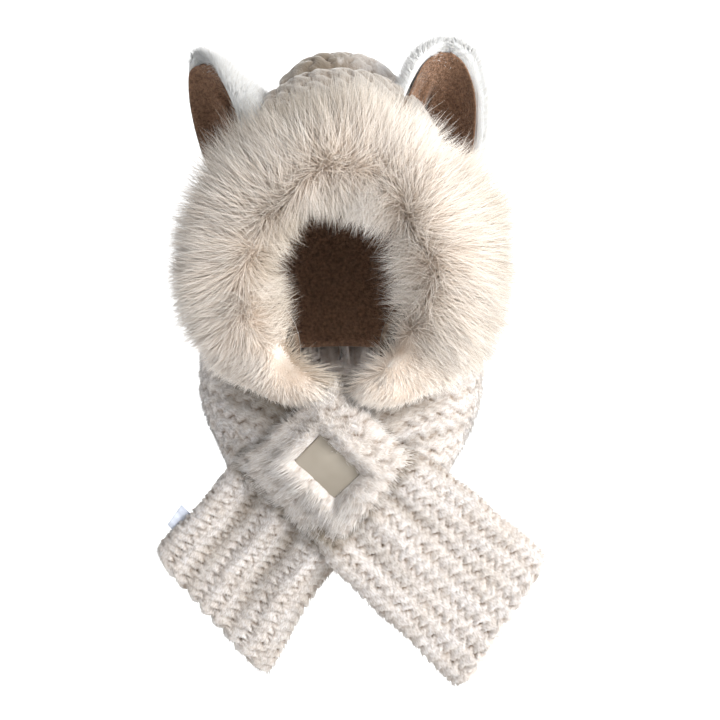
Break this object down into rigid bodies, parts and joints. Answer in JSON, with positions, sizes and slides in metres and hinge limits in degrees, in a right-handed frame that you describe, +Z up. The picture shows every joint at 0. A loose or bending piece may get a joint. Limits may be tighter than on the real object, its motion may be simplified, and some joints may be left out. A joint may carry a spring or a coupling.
{
  "type": "animal hood scarf",
  "caption": "Child's plush hood scarf with cupped animal ears, long fur trim round the face opening and scarf ends that cross through a keeper loop.",
  "frame": {"origin": "where the top of a head touches the lining inside the crown", "axes": "+Z up out of the crown, the face looks along -Y, +X is the viewer's right"},
  "size_m": [0.3708, 0.2714, 0.6274],
  "materials": {
    "plush": "embossed short-pile plush",
    "ear_plush": "white short-pile plush",
    "brown_velvet": "short brown velvet",
    "fur": "long faux fur",
    "patch_face": "smooth matt",
    "label": "woven satin"
  },
  "bodies": {
    "root": {"hood_shell": "plush", "hood_lining": "brown_velvet", "ear_left_shell": "ear_plush", "ear_left_lining": "brown_velvet", "ear_right_shell": "ear_plush", "ear_right_lining": "brown_velvet", "fur_trim": "fur", "scarf_under_half": "plush", "scarf_over_half": "plush", "keeper_loop": "plush", "patch": "patch_face", "side_label": "label"}
  },
  "joints": []
}
